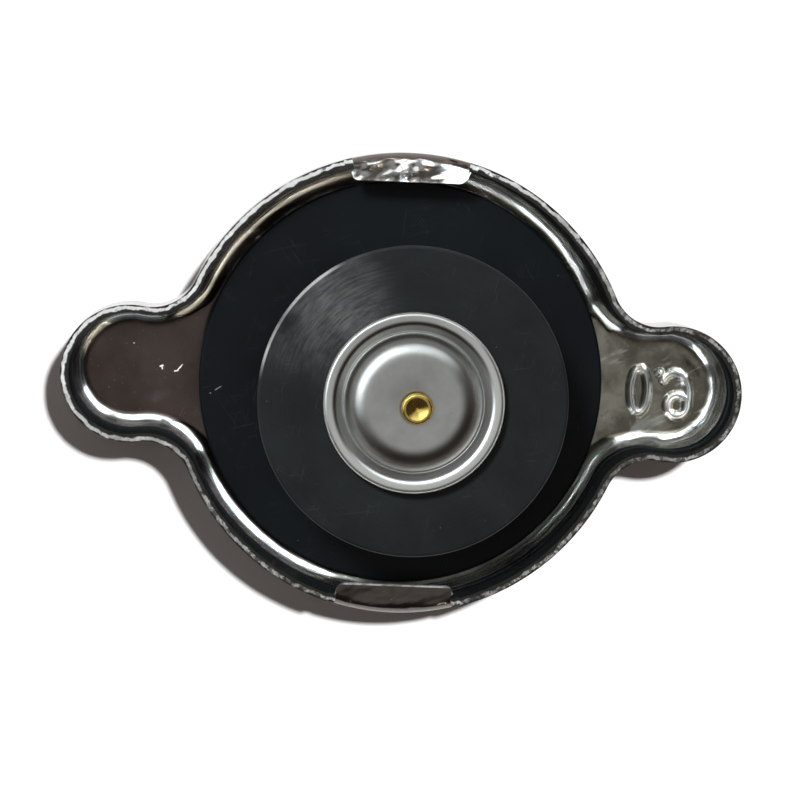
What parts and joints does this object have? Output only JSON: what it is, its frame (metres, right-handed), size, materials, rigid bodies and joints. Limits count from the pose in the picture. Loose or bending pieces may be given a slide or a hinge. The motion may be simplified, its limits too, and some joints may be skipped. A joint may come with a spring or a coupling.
{
  "type": "radiator cap",
  "caption": "Pressure cap for a radiator filler neck: chromed shell with two finger ears, turning rubber seal, sprung pressure valve and a small vacuum valve in its centre.",
  "frame": {"origin": "centre of the top plate's outer face, on the rivet's axis; the cap lies on that face with the valve side up", "axes": "+X towards the right-hand ear, +Y towards one locking tab, +Z along the rivet out of the cap's underside"},
  "size_m": [0.0724, 0.049, 0.0228],
  "materials": {
    "chrome_shell": "bright chrome plate with fine scratches and dust",
    "plated_steel": "zinc plate, dull",
    "stainless": "satin stainless steel with bright pressed edges",
    "spring_steel": "drawn spring wire, lightly oiled",
    "brass": "bright turned brass",
    "seal_rubber": "smooth black rubber with a cold sheen",
    "gasket_rubber": "moulded dark grey rubber with fine scratches"
  },
  "bodies": {
    "shell": {"shell": "chrome_shell", "centre_rivet": "plated_steel", "friction_washer": "brass"},
    "seal_unit": {"diaphragm_disc": "stainless", "upper_seal": "seal_rubber", "seal_clamp": "plated_steel", "valve_cage": "plated_steel", "pressure_spring": "spring_steel"},
    "pressure_valve": {"valve_plate": "plated_steel", "pressure_gasket": "gasket_rubber", "valve_eyelet": "plated_steel", "stem_guide": "plated_steel", "vacuum_spring": "spring_steel"},
    "vacuum_valve": {"vacuum_cup": "stainless", "vacuum_stem": "brass", "stem_keeper": "plated_steel"}
  },
  "joints": [
    {"name": "seal_swivel", "type": "hinge", "parent": "shell", "child": "seal_unit", "pos_m": [0, 0, 0.0085], "axis": [0, 0, 1], "continuous": true},
    {"name": "pressure_lift", "type": "slide", "parent": "seal_unit", "child": "pressure_valve", "axis": [0, 0, 1], "range_m": [-0.0015, 0], "stiffness_N_per_m": 2000, "deforming": ["pressure_spring"]},
    {"name": "vacuum_lift", "type": "slide", "parent": "pressure_valve", "child": "vacuum_valve", "axis": [0, 0, 1], "range_m": [0, 0.0012], "stiffness_N_per_m": 400, "deforming": ["vacuum_spring"]}
  ]
}
